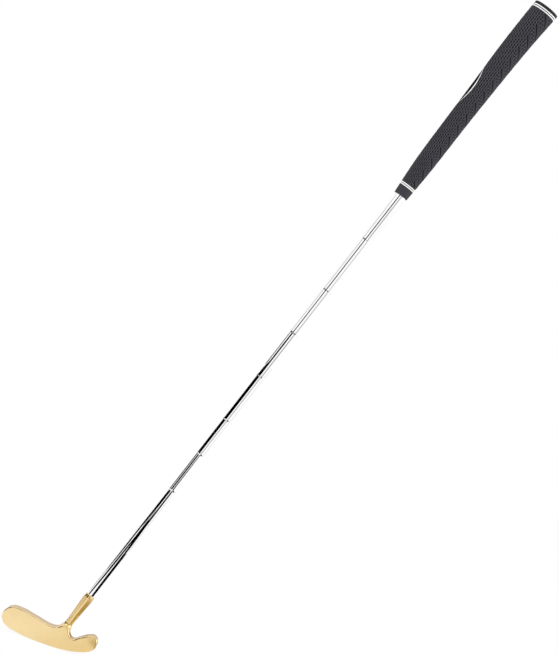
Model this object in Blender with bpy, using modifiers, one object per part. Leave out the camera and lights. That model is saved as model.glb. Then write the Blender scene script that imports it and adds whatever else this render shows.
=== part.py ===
"""A two-way golf putter: a flat double-faced head with a short hosel, a stepped
chromed steel shaft, and a pistol grip with white rings and a thumb panel.

The putter stands at address. Z is up and the origin is the middle of the flat
land on the sole. X runs from toe to heel, so the shaft leans towards +X. The
plane Y = 0 holds the shaft and halves the putter.
"""

import math

import bmesh
import bpy
from mathutils import Matrix

# Gap between two pieces that touch on the real putter
GAP = 0.0003

# The whole club
LIE_ANGLE = math.radians(72)
CLUB_LENGTH = 0.889
AXIS_AT_GROUND = 0.009

# Head, seen on its striking face
TOE_REACH = 0.0536
HEEL_REACH = 0.0557
TOE_HEIGHT = 0.0278
WAIST_HEIGHT = 0.0217
HEEL_HEIGHT = 0.0263
NOTCH_HEIGHT = 0.0156
NOTCH_FROM_AXIS = 0.0142
TOE_TIP_HEIGHT = 0.0165
HEEL_TIP_HEIGHT = 0.0170
LAND_TO_TOE = 0.0120
LAND_TO_HEEL = 0.0080
HEAD_THICKNESS = 0.0180
FACE_EDGE_RADIUS = 0.0012

# Hosel, measured along the shaft axis from the ground
HOSEL_RIM_AT = 0.0700
HOSEL_COLLAR_LENGTH = 0.0036
HOSEL_WAIST_AT = 0.0365
HOSEL_SHOULDER_AT = 0.0220
HOSEL_ROOT_AT = 0.0180
HOSEL_COLLAR_RADIUS = 0.00585
HOSEL_RIM_RADIUS = 0.00525
HOSEL_WAIST_RADIUS = 0.00450
HOSEL_ROOT_HALF_WIDTH = 0.0125
HOSEL_ROOT_SINK = 0.0007
HOSEL_BORE_DEPTH = 0.0200

# Shaft: a tube that grows at each step
SHAFT_TIP_RADIUS = 0.00420
SHAFT_BUTT_RADIUS = 0.00700
SHAFT_WALL = 0.0005
SHAFT_STEP_PLACES = (0.2165, 0.2667, 0.3145, 0.3750, 0.4353, 0.4947, 0.5652)
SHAFT_STEP_LENGTH = 0.0012
BOND_LENGTH = 0.0060

# Grip, measured from its mouth towards its cap
GRIP_LENGTH = 0.2620
GRIP_MOUTH_WALL = 0.0007
CAP_THICKNESS = 0.0026
CAP_EDGE_RADIUS = 0.0009
CAP_SPIGOT_LENGTH = 0.0020
VENT_RADIUS = 0.0010
TAPE_THICKNESS = 0.0003
TAPE_FROM_MOUTH = 0.0200
TAPE_FROM_CAP = 0.0080

# White rings: two pairs, each in one groove round the grip
RING_WIDTH = 0.0014
RING_SPACING = 0.0022
RING_DEPTH = 0.0007
RING_STANDS_PROUD = 0.0001
MOUTH_RINGS_FROM_MOUTH = 0.0112
CAP_RINGS_FROM_CAP = 0.0005

# Thumb panel: an oval let into the grip's toe side
PANEL_MIDDLE = 0.1425
PANEL_LENGTH = 0.0480
PANEL_WIDTH = 0.0198
PANEL_RIM_WIDTH = 0.0014
PANEL_DEPTH = 0.0045
PANEL_DISH = 0.0006

# Fineness of round shapes
ROUND_SIDES = 32
GRIP_SIDES = 40
OVAL_SIDES = 28

COLLECTION = bpy.data.collections.new("golf_putter")
CUTTERS = bpy.data.collections.new("cutters")


def clear_scene():
    for obj in list(bpy.data.objects):
        bpy.data.objects.remove(obj)
    for collection in (COLLECTION, CUTTERS):
        bpy.context.scene.collection.children.link(collection)


def make_material(name, colour, roughness, metallic):
    material = bpy.data.materials.new(name)
    material.use_nodes = True
    shader = material.node_tree.nodes["Principled BSDF"]
    shader.inputs["Base Color"].default_value = (*colour, 1)
    shader.inputs["Roughness"].default_value = roughness
    shader.inputs["Metallic"].default_value = metallic
    return material


def add_object(name, mesh, material, parent):
    obj = bpy.data.objects.new(name, mesh)
    obj.data.materials.append(material)
    obj.parent = parent
    COLLECTION.objects.link(obj)
    return obj


def add_cutter(name, mesh, parent):
    cutter = bpy.data.objects.new(name, mesh)
    cutter.parent = parent
    cutter.hide_render = True
    cutter.display_type = "WIRE"
    CUTTERS.objects.link(cutter)
    return cutter


def add_boolean(obj, operation, other):
    modifier = obj.modifiers.new(f"{operation.lower()}_{other.name}", "BOOLEAN")
    modifier.operation = operation
    modifier.object = other
    modifier.solver = "EXACT"


def shade(mesh, sharp_angle=math.radians(35)):
    mesh.shade_smooth()
    mesh.set_sharp_from_angle(angle=sharp_angle)


def add_axis_empty():
    """An empty on the ground whose Z runs up the shaft and whose -X looks to the toe."""
    empty = bpy.data.objects.new("shaft_axis", None)
    empty.location = (AXIS_AT_GROUND, 0, 0)
    empty.rotation_euler = (0, math.pi / 2 - LIE_ANGLE, 0)
    COLLECTION.objects.link(empty)
    return empty


def turned(name, profile, material, parent):
    """Turns a profile of (radius, height) points round the parent's Z. One that
    starts on the axis ends there too, and any other is closed into a ring."""
    mesh = bpy.data.meshes.new(name)
    edges = [(i, i + 1) for i in range(len(profile) - 1)]
    if profile[0][0] > 0:
        edges.append((len(profile) - 1, 0))
    mesh.from_pydata([(r, 0, z) for r, z in profile], edges, [])
    obj = add_object(name, mesh, material, parent)
    screw = obj.modifiers.new("turn", "SCREW")
    screw.steps = screw.render_steps = ROUND_SIDES
    screw.use_merge_vertices = True
    screw.merge_threshold = 0.00001
    screw.use_smooth_shade = True
    return obj


def bar_mesh(name, half_width, half_depth, start, end, sides):
    """A round or oval bar along Z, from start to end."""
    shape = bmesh.new()
    size = Matrix.Diagonal((half_width, half_depth, end - start, 1))
    place = Matrix.Translation((0, 0, (start + end) / 2))
    bmesh.ops.create_cone(
        shape,
        cap_ends=True,
        segments=sides,
        radius1=1,
        radius2=1,
        depth=1,
        matrix=place @ size,
    )
    mesh = bpy.data.meshes.new(name)
    shape.to_mesh(mesh)
    shape.free()
    return mesh


def skin(name, rings, closed):
    """Joins rings of equal count, each anticlockwise seen from above. A closed skin
    runs from its last ring back to its first, and an open one has flat ends."""
    count = len(rings[0])
    shape = bmesh.new()
    loops = [[shape.verts.new(point) for point in ring] for ring in rings]
    pairs = list(zip(loops, loops[1:]))
    if closed:
        pairs.append((loops[-1], loops[0]))
    for low, high in pairs:
        for i in range(count):
            j = (i + 1) % count
            shape.faces.new((low[i], low[j], high[j], high[i]))
    if not closed:
        shape.faces.new(reversed(loops[0]))
        shape.faces.new(loops[-1])
    mesh = bpy.data.meshes.new(name)
    shape.to_mesh(mesh)
    shape.free()
    return mesh


def ease(start, end, share):
    """A smooth passage from start to end as share goes from 0 to 1."""
    share = min(max(share, 0), 1)
    return start + (end - start) * share * share * (3 - 2 * share)


# The head


def on_axis(height):
    """X where the shaft axis passes at a height."""
    return AXIS_AT_GROUND + height / math.tan(LIE_ANGLE)


def blade_points():
    """Points of the face outline in X and Z, from the sole's land towards the heel."""
    root_height = (WAIST_HEIGHT + HEEL_HEIGHT) / 2
    root = on_axis(root_height)
    notch = on_axis(NOTCH_HEIGHT) + NOTCH_FROM_AXIS
    heel_span = HEEL_REACH - notch
    heel_rise = HEEL_HEIGHT - NOTCH_HEIGHT
    return [
        (LAND_TO_HEEL, 0),
        (0.43 * HEEL_REACH, 0.07 * HEEL_TIP_HEIGHT),
        (0.70 * HEEL_REACH, 0.25 * HEEL_TIP_HEIGHT),
        (0.89 * HEEL_REACH, 0.48 * HEEL_TIP_HEIGHT),
        (0.975 * HEEL_REACH, 0.71 * HEEL_TIP_HEIGHT),
        (HEEL_REACH, HEEL_TIP_HEIGHT + 0.0010),
        (HEEL_REACH - 0.08 * heel_span, HEEL_HEIGHT - 0.18 * heel_rise),
        (HEEL_REACH - 0.24 * heel_span, HEEL_HEIGHT),
        (HEEL_REACH - 0.42 * heel_span, HEEL_HEIGHT - 0.14 * heel_rise),
        (notch + 0.28 * heel_span, NOTCH_HEIGHT + 0.40 * heel_rise),
        (notch, NOTCH_HEIGHT),
        (root + 0.50 * HOSEL_ROOT_HALF_WIDTH, NOTCH_HEIGHT + 0.40 * heel_rise),
        (root + 0.30 * HOSEL_ROOT_HALF_WIDTH, NOTCH_HEIGHT + 0.88 * heel_rise),
        (root - 0.16 * HOSEL_ROOT_HALF_WIDTH, root_height + 0.0022),
        (root - 0.60 * HOSEL_ROOT_HALF_WIDTH, WAIST_HEIGHT + 0.0014),
        (root - 1.10 * HOSEL_ROOT_HALF_WIDTH, WAIST_HEIGHT),
        (-0.33 * TOE_REACH, 0.5 * (WAIST_HEIGHT + TOE_HEIGHT)),
        (-0.67 * TOE_REACH, 0.995 * TOE_HEIGHT),
        (-0.86 * TOE_REACH, 0.96 * TOE_HEIGHT),
        (-0.965 * TOE_REACH, 0.78 * TOE_HEIGHT),
        (-TOE_REACH, TOE_TIP_HEIGHT),
        (-0.965 * TOE_REACH, 0.62 * TOE_TIP_HEIGHT),
        (-0.86 * TOE_REACH, 0.32 * TOE_TIP_HEIGHT),
        (-0.58 * TOE_REACH, 0.10 * TOE_TIP_HEIGHT),
        (-LAND_TO_TOE, 0),
    ]


def blade_mesh():
    """The blade's outline as a filled curve with rounded edges, standing upright."""
    curve = bpy.data.curves.new("blade_outline", "CURVE")
    curve.dimensions = "2D"
    curve.fill_mode = "BOTH"
    curve.extrude = HEAD_THICKNESS / 2 - FACE_EDGE_RADIUS
    curve.bevel_depth = FACE_EDGE_RADIUS
    curve.bevel_resolution = 2
    curve.offset = -FACE_EDGE_RADIUS
    curve.resolution_u = 4
    points = blade_points()
    spline = curve.splines.new("BEZIER")
    spline.use_cyclic_u = True
    spline.bezier_points.add(len(points) - 1)
    for knot, (x, z) in zip(spline.bezier_points, points):
        knot.co = (x, z, 0)
        knot.handle_left_type = knot.handle_right_type = "AUTO"
    spline.bezier_points[0].handle_left_type = "VECTOR"
    spline.bezier_points[-1].handle_right_type = "VECTOR"
    source = bpy.data.objects.new("blade_outline", curve)
    source.rotation_euler = (math.pi / 2, 0, 0)
    COLLECTION.objects.link(source)
    bpy.context.view_layer.update()
    evaluated = source.evaluated_get(bpy.context.evaluated_depsgraph_get())
    mesh = bpy.data.meshes.new_from_object(evaluated)
    mesh.transform(source.matrix_world)
    bpy.data.objects.remove(source)
    shape = bmesh.new()
    shape.from_mesh(mesh)
    bmesh.ops.remove_doubles(shape, verts=shape.verts, dist=0.00001)
    shape.to_mesh(mesh)
    shape.free()
    return mesh


def rounded_ring(half_width, half_depth, squareness, height, sides=ROUND_SIDES):
    """A ring between an ellipse (squareness 2) and a rectangle, at one height."""
    ring = []
    for i in range(sides):
        angle = 2 * math.pi * i / sides
        c, s = math.cos(angle), math.sin(angle)
        x = math.copysign(abs(c) ** (2 / squareness), c) * half_width
        y = math.copysign(abs(s) ** (2 / squareness), s) * half_depth
        ring.append((x, y, height))
    return ring


def hosel_mesh():
    """Lofts the hosel from a wide root inside the blade to its round collar."""
    rings = []
    root_half_depth = HEAD_THICKNESS / 2 - HOSEL_ROOT_SINK
    stations = 10
    for i in range(stations):
        share = i / (stations - 1)
        flare = (1 - share) ** 2.6
        width = HOSEL_WAIST_RADIUS + flare * (HOSEL_ROOT_HALF_WIDTH - HOSEL_WAIST_RADIUS)
        height = HOSEL_ROOT_AT + share * (HOSEL_WAIST_AT - HOSEL_ROOT_AT)
        rise = (height - HOSEL_SHOULDER_AT) / (HOSEL_WAIST_AT - HOSEL_SHOULDER_AT)
        depth = ease(root_half_depth, HOSEL_WAIST_RADIUS, rise)
        rings.append(rounded_ring(width, depth, 2 + flare, height))
    collar_at = HOSEL_RIM_AT - HOSEL_COLLAR_LENGTH
    for share in (0.25, 0.5, 0.75, 1):
        radius = ease(HOSEL_WAIST_RADIUS, HOSEL_COLLAR_RADIUS, share)
        height = HOSEL_WAIST_AT + share * (collar_at - HOSEL_WAIST_AT)
        rings.append(rounded_ring(radius, radius, 2, height))
    rings.append(rounded_ring(HOSEL_RIM_RADIUS, HOSEL_RIM_RADIUS, 2, HOSEL_RIM_AT))
    mesh = skin("hosel", rings, closed=False)
    shade(mesh)
    return mesh


def add_head(axis):
    gold = make_material("polished_gold", (0.87, 0.69, 0.36), 0.22, 1)
    head = add_object("head", blade_mesh(), gold, None)
    hosel = add_cutter("hosel", hosel_mesh(), axis)
    bore_radius = SHAFT_TIP_RADIUS + GAP
    bottom, top = HOSEL_RIM_AT - HOSEL_BORE_DEPTH, HOSEL_RIM_AT + HOSEL_COLLAR_LENGTH
    bore_mesh = bar_mesh("hosel_bore", bore_radius, bore_radius, bottom, top, ROUND_SIDES)
    bore = add_cutter("hosel_bore", bore_mesh, axis)
    add_boolean(head, "UNION", hosel)
    add_boolean(head, "DIFFERENCE", bore)
    shade(head.data)
    return head


# The shaft and what holds it


def shaft_tip_at():
    return HOSEL_RIM_AT - HOSEL_BORE_DEPTH + BOND_LENGTH / 3


def shaft_butt_at():
    return CLUB_LENGTH - CAP_THICKNESS - CAP_SPIGOT_LENGTH - GAP


def add_shaft(axis):
    """A tube whose radius grows by one equal step at each of the step places."""
    chrome = make_material("chromed_steel", (0.84, 0.85, 0.87), 0.10, 1)
    rise = (SHAFT_BUTT_RADIUS - SHAFT_TIP_RADIUS) / len(SHAFT_STEP_PLACES)
    outline = [(SHAFT_TIP_RADIUS, shaft_tip_at())]
    for number, place in enumerate(SHAFT_STEP_PLACES):
        radius = SHAFT_TIP_RADIUS + number * rise
        outline.append((radius, place - SHAFT_STEP_LENGTH / 2))
        outline.append((radius + rise, place + SHAFT_STEP_LENGTH / 2))
    outline.append((SHAFT_BUTT_RADIUS, shaft_butt_at()))
    inside = [(radius - SHAFT_WALL, height) for radius, height in outline]
    return turned("shaft", outline[::-1] + inside, chrome, axis)


def add_bond(axis):
    """The plug of set adhesive at the bottom of the bore, partly inside the tube."""
    resin = make_material("bond_resin", (0.55, 0.45, 0.28), 0.45, 0)
    bottom = HOSEL_RIM_AT - HOSEL_BORE_DEPTH + GAP
    foot = SHAFT_TIP_RADIUS
    neck = SHAFT_TIP_RADIUS - SHAFT_WALL - GAP
    shoulder = shaft_tip_at() - GAP
    top = bottom + BOND_LENGTH
    profile = [(0, top), (neck, top), (neck, shoulder), (foot, shoulder)]
    profile += [(foot, bottom), (0, bottom)]
    return turned("shaft_bond", profile, resin, axis)


# The grip

# Share of the grip's length from its mouth, then the half sizes there: to the
# toe, to the heel and to either side, and how square the toe side is
GRIP_SHAPE = (
    (0.000, 0.00795, 0.00795, 0.00795, 2.0),
    (0.055, 0.0092, 0.0086, 0.0088, 2.1),
    (0.180, 0.0116, 0.0097, 0.0104, 2.6),
    (0.390, 0.0129, 0.0099, 0.0114, 3.0),
    (0.570, 0.0137, 0.0106, 0.0119, 3.0),
    (0.720, 0.0148, 0.0115, 0.0124, 2.8),
    (0.860, 0.0149, 0.0129, 0.0131, 2.5),
    (1.000, 0.0143, 0.0150, 0.0139, 2.2),
)


def grip_size(distance):
    """The half sizes and squareness at a distance from the mouth, along smooth curves."""
    share = min(max(distance / GRIP_LENGTH, 0), 1)
    last = len(GRIP_SHAPE) - 1
    k = max(i for i in range(last) if GRIP_SHAPE[i][0] <= share)
    before, low, high, after = (
        GRIP_SHAPE[min(max(i, 0), last)] for i in (k - 1, k, k + 1, k + 2)
    )
    span = high[0] - low[0]
    t = (share - low[0]) / span
    sizes = []
    for a, b, c, d in zip(before[1:], low[1:], high[1:], after[1:]):
        slope_low = (c - a) / (high[0] - before[0]) * span
        slope_high = (d - b) / (after[0] - low[0]) * span
        sizes.append(
            (2 * t**3 - 3 * t**2 + 1) * b
            + (t**3 - 2 * t**2 + t) * slope_low
            + (3 * t**2 - 2 * t**3) * c
            + (t**3 - t**2) * slope_high
        )
    return sizes


def grip_ring(distance, inset=0.0, raised=0.0):
    """The grip's outline at a distance from its mouth, drawn in by inset."""
    toe, heel, side, squareness = grip_size(distance)
    ring = []
    for i in range(GRIP_SIDES):
        angle = 2 * math.pi * i / GRIP_SIDES
        c, s = math.cos(angle), math.sin(angle)
        power = 2 / squareness if c < 0 else 1
        reach = (toe if c < 0 else heel) - inset
        x = math.copysign(abs(c) ** power, c) * reach
        y = math.copysign(abs(s) ** power, s) * (side - inset)
        ring.append((x, y, mouth_at() + distance + raised))
    return ring


def round_ring(radius, distance):
    """A circle at a distance from the grip's mouth."""
    return rounded_ring(radius, radius, 2, mouth_at() + distance, GRIP_SIDES)


def mouth_at():
    return CLUB_LENGTH - GRIP_LENGTH


def groove_places():
    """Start and end of the two grooves, from the grip's mouth."""
    width = RING_SPACING + RING_WIDTH + 2 * GAP
    near_mouth = MOUTH_RINGS_FROM_MOUTH - GAP
    near_cap = sleeve_length() - CAP_RINGS_FROM_CAP - width
    return ((near_mouth, near_mouth + width), (near_cap, near_cap + width))


def sleeve_length():
    return GRIP_LENGTH - CAP_THICKNESS


def tape_places():
    return TAPE_FROM_MOUTH, sleeve_length() - TAPE_FROM_CAP


def tape_radii():
    inner = SHAFT_BUTT_RADIUS + GAP
    return inner, inner + TAPE_THICKNESS


def add_oval_cutter(name, length, width, floor, axis):
    """An oval bar that reaches out of the grip's toe side from a floor."""
    reach = 2 * GRIP_SHAPE[-1][1]
    mesh = bar_mesh(name, length / 2, width / 2, floor, reach, OVAL_SIDES)
    to_toe = Matrix.Rotation(-math.pi / 2, 4, "Y")
    mesh.transform(Matrix.Translation((0, 0, mouth_at() + PANEL_MIDDLE)) @ to_toe)
    return add_cutter(name, mesh, axis)


def panel_floor():
    """Distance from the shaft axis to the flat floor of the panel's recess."""
    return grip_size(PANEL_MIDDLE)[0] - PANEL_DEPTH


def add_sleeve(axis):
    """The rubber sleeve: its outside with two ring grooves, and its stepped bore."""
    rubber = make_material("grip_rubber", (0.045, 0.045, 0.052), 0.72, 0)
    rings = [grip_ring(0, GRIP_MOUTH_WALL / 3), grip_ring(GRIP_MOUTH_WALL / 3)]
    (low_start, low_end), (high_start, high_end) = groove_places()
    outside = [low_end + share * (high_start - low_end) / 16 for share in range(17)]
    rings += [grip_ring(low_start), grip_ring(low_start, RING_DEPTH)]
    rings += [grip_ring(low_end, RING_DEPTH)]
    rings += [grip_ring(place) for place in outside]
    rings += [grip_ring(high_start, RING_DEPTH), grip_ring(high_end, RING_DEPTH)]
    rings += [grip_ring(high_end), grip_ring(sleeve_length())]
    tight = SHAFT_BUTT_RADIUS + GAP
    wide = tape_radii()[1] + GAP
    tape_start, tape_end = tape_places()
    rings += [round_ring(tight, sleeve_length()), round_ring(tight, tape_end + GAP)]
    rings += [round_ring(wide, tape_end + GAP), round_ring(wide, tape_start - GAP)]
    rings += [round_ring(tight, tape_start - GAP), round_ring(tight, 0)]
    mesh = skin("grip_sleeve", rings, closed=True)
    sleeve = add_object("grip_sleeve", mesh, rubber, axis)
    length, width = PANEL_LENGTH + 2 * GAP, PANEL_WIDTH + 2 * GAP
    recess = add_oval_cutter("panel_recess", length, width, panel_floor(), axis)
    add_boolean(sleeve, "DIFFERENCE", recess)
    shade(sleeve.data)
    return sleeve


def add_tape(axis):
    paper = make_material("tape_paper", (0.80, 0.77, 0.68), 0.85, 0)
    inner, outer = tape_radii()
    start, end = (mouth_at() + place for place in tape_places())
    profile = [(outer, end), (outer, start), (inner, start), (inner, end)]
    return turned("grip_tape", profile, paper, axis)


def add_cap(axis):
    """The end cap: a disc as wide as the sleeve, a spigot and a vent through both."""
    rubber = make_material("cap_rubber", (0.030, 0.030, 0.034), 0.50, 0)
    foot = sleeve_length() + GAP
    spigot = SHAFT_BUTT_RADIUS
    rings = [round_ring(spigot, foot - CAP_SPIGOT_LENGTH), round_ring(spigot, foot)]
    rings.append(grip_ring(foot))
    for step in range(4):
        turn = math.pi / 2 * step / 3
        inset = CAP_EDGE_RADIUS * (1 - math.cos(turn))
        height = GRIP_LENGTH - CAP_EDGE_RADIUS * (1 - math.sin(turn))
        rings.append(grip_ring(height, inset))
    rings.append(round_ring(VENT_RADIUS, GRIP_LENGTH))
    rings.append(round_ring(VENT_RADIUS, foot - CAP_SPIGOT_LENGTH))
    cap = add_object("grip_cap", skin("grip_cap", rings, closed=True), rubber, axis)
    shade(cap.data)
    return cap


def add_ring(name, start, white, axis):
    """One white ring, from its start, seated on its groove's floor."""
    end = start + RING_WIDTH
    floor = RING_DEPTH - GAP
    rings = [
        grip_ring(start, -RING_STANDS_PROUD),
        grip_ring(end, -RING_STANDS_PROUD),
        grip_ring(end, floor),
        grip_ring(start, floor),
    ]
    ring = add_object(name, skin(name, rings, closed=True), white, axis)
    shade(ring.data)
    return ring


def add_rings(axis):
    white = make_material("ring_white", (0.90, 0.90, 0.89), 0.45, 0)
    for place, (start, _) in zip(("mouth", "cap"), groove_places()):
        for level, offset in (("lower", 0), ("upper", RING_SPACING)):
            add_ring(f"{place}_ring_{level}", start + GAP + offset, white, axis)


def panel_blank(name, dish, material, axis):
    """A length of the grip's own outside, drawn in by the dish, to cut the panel from."""
    stations = 9
    span = PANEL_LENGTH * 1.2
    rings = []
    for i in range(stations):
        place = PANEL_MIDDLE + span * (i / (stations - 1) - 0.5)
        rings.append(grip_ring(place, dish))
    return add_object(name, skin(name, rings, closed=False), material, axis)


def add_panel(axis):
    """The thumb panel and the white rim round it, both cut from the grip's own shape."""
    gloss = make_material("panel_gloss", (0.012, 0.012, 0.014), 0.12, 0)
    white = make_material("rim_white", (0.88, 0.88, 0.87), 0.40, 0)
    floor = panel_floor()
    length, width = (size - 2 * PANEL_RIM_WIDTH for size in (PANEL_LENGTH, PANEL_WIDTH))
    hole = add_oval_cutter("rim_hole", length, width, floor - GAP, axis)
    outer = add_oval_cutter("rim_oval", PANEL_LENGTH, PANEL_WIDTH, floor + GAP, axis)
    length, width = length - 2 * GAP, width - 2 * GAP
    oval = add_oval_cutter("panel_oval", length, width, floor + GAP, axis)
    panel = panel_blank("thumb_panel", PANEL_DISH, gloss, axis)
    add_boolean(panel, "INTERSECT", oval)
    rim = panel_blank("thumb_panel_rim", 0, white, axis)
    add_boolean(rim, "INTERSECT", outer)
    add_boolean(rim, "DIFFERENCE", hole)
    for obj in (panel, rim):
        shade(obj.data)


def build_putter():
    clear_scene()
    axis = add_axis_empty()
    add_head(axis)
    add_shaft(axis)
    add_bond(axis)
    add_tape(axis)
    add_sleeve(axis)
    add_cap(axis)
    add_rings(axis)
    add_panel(axis)
    bpy.context.view_layer.update()


build_putter()
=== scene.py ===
# %% [markdown]
# # A two-way golf putter
# The putter stands at address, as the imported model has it. Its shaft leans 18 degrees
# towards the heel, and the camera is rolled so that it crosses the picture from corner
# to corner. Every piece here is drawn round that model: the gold head, the chromed
# shaft, and the moulded grip with its white rings and thumb panel.

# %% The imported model
import math

import bmesh
import bpy
import numpy as np
from mathutils import Matrix, Vector
from mathutils.geometry import interpolate_bezier


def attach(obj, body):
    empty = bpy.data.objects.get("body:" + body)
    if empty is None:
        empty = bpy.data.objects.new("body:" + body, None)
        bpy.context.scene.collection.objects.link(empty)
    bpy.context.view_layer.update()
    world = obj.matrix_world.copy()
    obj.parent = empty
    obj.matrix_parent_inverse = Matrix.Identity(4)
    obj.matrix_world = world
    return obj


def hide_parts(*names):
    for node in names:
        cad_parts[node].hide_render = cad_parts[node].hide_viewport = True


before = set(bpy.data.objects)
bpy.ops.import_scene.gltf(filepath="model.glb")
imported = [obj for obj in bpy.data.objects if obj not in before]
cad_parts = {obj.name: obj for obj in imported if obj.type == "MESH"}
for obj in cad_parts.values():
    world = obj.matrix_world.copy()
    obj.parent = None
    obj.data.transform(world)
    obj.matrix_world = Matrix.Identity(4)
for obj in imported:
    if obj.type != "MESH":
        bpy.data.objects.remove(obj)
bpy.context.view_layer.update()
print("nodes:", ", ".join(sorted(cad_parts)))

# %% [markdown]
# The whole putter is described along its own shaft. A place is given by how far it is
# across the shaft axis (towards the heel), how deep it is behind the plane of the
# shaft, and how far it is along the axis from the ground. All three are in
# millimetres, because the real pieces are measured so.

# %% Places along the shaft
MM = 0.001
LIE = math.radians(72)
AXIS_AT_GROUND = 9.0
UP_X, UP_Z = math.cos(LIE), math.sin(LIE)


def along_shaft(across, depth, along):
    """World points, in metres, of places given in millimetres along the shaft."""
    across, depth, along = np.broadcast_arrays(across, depth, along)
    x = AXIS_AT_GROUND + across * UP_Z + along * UP_X
    z = along * UP_Z - across * UP_X
    return np.stack((x, depth, z), axis=-1) * MM


# %% [markdown]
# The photograph is taken square on, from far enough away that the near side of the
# grip's rings bulges by only 3 mm. That bulge gives the distance, 2.43 m. The rolled
# frame is set directly from two directions, the picture's right and its up, because
# a rolled camera is hard to reach by turning it step by step.

# %% The camera
CAMERA_DISTANCE = 2.43
PICTURE_CENTRE = (0.1257, 0.4152)
PICTURE_ROLL = math.radians(19.84)
METRES_PER_PIXEL = 0.0011023
PICTURE_HEIGHT = 654
SENSOR_WIDTH = 36

picture_right = Vector((math.cos(PICTURE_ROLL), 0, math.sin(PICTURE_ROLL)))
picture_up = Vector((-math.sin(PICTURE_ROLL), 0, math.cos(PICTURE_ROLL)))
lens = bpy.data.cameras.new("camera")
lens.sensor_width = SENSOR_WIDTH
lens.lens = SENSOR_WIDTH * CAMERA_DISTANCE / (PICTURE_HEIGHT * METRES_PER_PIXEL)
lens.clip_end = 50
camera = bpy.data.objects.new("camera", lens)
bpy.context.collection.objects.link(camera)
turn = Matrix((picture_right, picture_up, (0, -1, 0))).transposed()
place = Vector((PICTURE_CENTRE[0], -CAMERA_DISTANCE, PICTURE_CENTRE[1]))
camera.matrix_world = Matrix.Translation(place) @ turn.to_4x4()
bpy.context.scene.camera = camera
bpy.context.scene.view_settings.view_transform = "Standard"
print(f"lens {lens.lens:.1f} mm at {CAMERA_DISTANCE} m")

# %% [markdown]
# Materials are written as sums. A wire stands for one value on its way through the
# nodes, and adding or multiplying wires adds the Math node for it, so a recipe reads
# as it would on paper. Every other node comes from one call, which sets the node's own
# choices first and then fills its sockets.


# %% Wires and finishes
class Wire:
    """One value on its way through a material."""

    def __init__(self, tree, socket):
        self.tree = tree
        self.socket = socket

    def math(self, operation, first, second):
        sockets = {0: first, 1: second}
        return Recipe(self.tree).node("ShaderNodeMath", {"operation": operation}, sockets)

    def __add__(self, other):
        return self.math("ADD", self, other)

    def __radd__(self, other):
        return self.math("ADD", other, self)

    def __mul__(self, other):
        return self.math("MULTIPLY", self, other)

    def __rmul__(self, other):
        return self.math("MULTIPLY", other, self)


def plug(tree, socket, value):
    """Links a wire to a socket, or writes a plain value on it."""
    if isinstance(value, Wire):
        tree.links.new(value.socket, socket)
    else:
        socket.default_value = value


class Recipe:
    """A node tree being written, and the one call that adds any node to it."""

    def __init__(self, tree):
        self.tree = tree

    def node(self, kind, settings=None, sockets=None, output=0):
        """Adds a node, with its settings first. Sockets go by name or by number."""
        node = self.tree.nodes.new(kind)
        for name, value in (settings or {}).items():
            if name == "stops":
                ramp = node.color_ramp.elements
                while len(ramp) < len(value):
                    ramp.new(0.5)
                for stop, (position, colour) in zip(ramp, value):
                    stop.position = position
                    stop.color = colour
            else:
                setattr(node, name, value)
        for name, value in (sockets or {}).items():
            plug(self.tree, node.inputs[name], value)
        return Wire(self.tree, node.outputs[output])

    def place(self, scale=(1, 1, 1), turn=(0, 0, 0)):
        """The piece's own coordinates, stretched and turned."""
        point = self.node("ShaderNodeTexCoord", output="Object")
        sockets = {"Vector": point, "Scale": scale, "Rotation": turn}
        return self.node("ShaderNodeMapping", sockets=sockets)

    def noise(self, scale, detail=3, roughness=0.5, place=None):
        sockets = {"Scale": scale, "Detail": detail, "Roughness": roughness}
        sockets["Vector"] = place or self.place()
        return self.node("ShaderNodeTexNoise", sockets=sockets)

    def ramp(self, value, *stops):
        """A grey ramp from (position, level) stops."""
        colours = [(position, (level, level, level, 1)) for position, level in stops]
        return self.node("ShaderNodeValToRGB", {"stops": colours}, {"Fac": value})

    def blend(self, share, first, second):
        """Mixes two colours, each a wire or three numbers."""
        first, second = (c if isinstance(c, Wire) else (*c, 1) for c in (first, second))
        sockets = {0: share, 6: first, 7: second}
        return self.node("ShaderNodeMix", {"data_type": "RGBA"}, sockets, output=2)

    def bump(self, height, strength, distance):
        sockets = {"Height": height, "Strength": strength, "Distance": distance}
        return self.node("ShaderNodeBump", sockets=sockets)


class Finish(Recipe):
    """A material with one Principled shader. Plain values are set on its sockets."""

    def __init__(self, name, **plain):
        self.material = bpy.data.materials.new(name)
        self.material.use_nodes = True
        super().__init__(self.material.node_tree)
        self.shader = self.tree.nodes["Principled BSDF"]
        for socket, value in plain.items():
            self.shader.inputs[socket.replace("_", " ")].default_value = value

    def feed(self, socket, wire):
        self.tree.links.new(wire.socket, self.shader.inputs[socket])

    def surface(self, colour, roughness, relief):
        """Feeds what changes over the surface, and gives the finished material."""
        self.feed("Base Color", colour)
        self.feed("Roughness", roughness)
        self.feed("Normal", relief)
        return self.material

    def glow(self, tone, strength=1.0):
        """Shows one plain tone, whatever light falls on it."""
        sockets = {"Color": (*tone, 1), "Strength": strength}
        return self.node("ShaderNodeEmission", sockets=sockets)

    def show(self, wire):
        """Puts another shader on the surface in place of the Principled one."""
        self.tree.links.new(wire.socket, self.tree.nodes["Material Output"].inputs["Surface"])


# %% [markdown]
# The studio is a white floor under a white sky. The sky lights the putter at a level
# of about one, so colours come out as they are written. One large soft lamp from the
# upper left gives the forms a gentle turn, and another lights the grip's heel side.
# The camera and the polished metal see the floor as white, and the floor still takes
# a faint shadow.


# %% The studio
def add_mesh(name, points, faces, material):
    mesh = bpy.data.meshes.new(name)
    mesh.from_pydata([tuple(point) for point in points], [], [tuple(f) for f in faces])
    mesh.materials.append(material)
    piece = bpy.data.objects.new(name, mesh)
    bpy.context.collection.objects.link(piece)
    return piece


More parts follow.
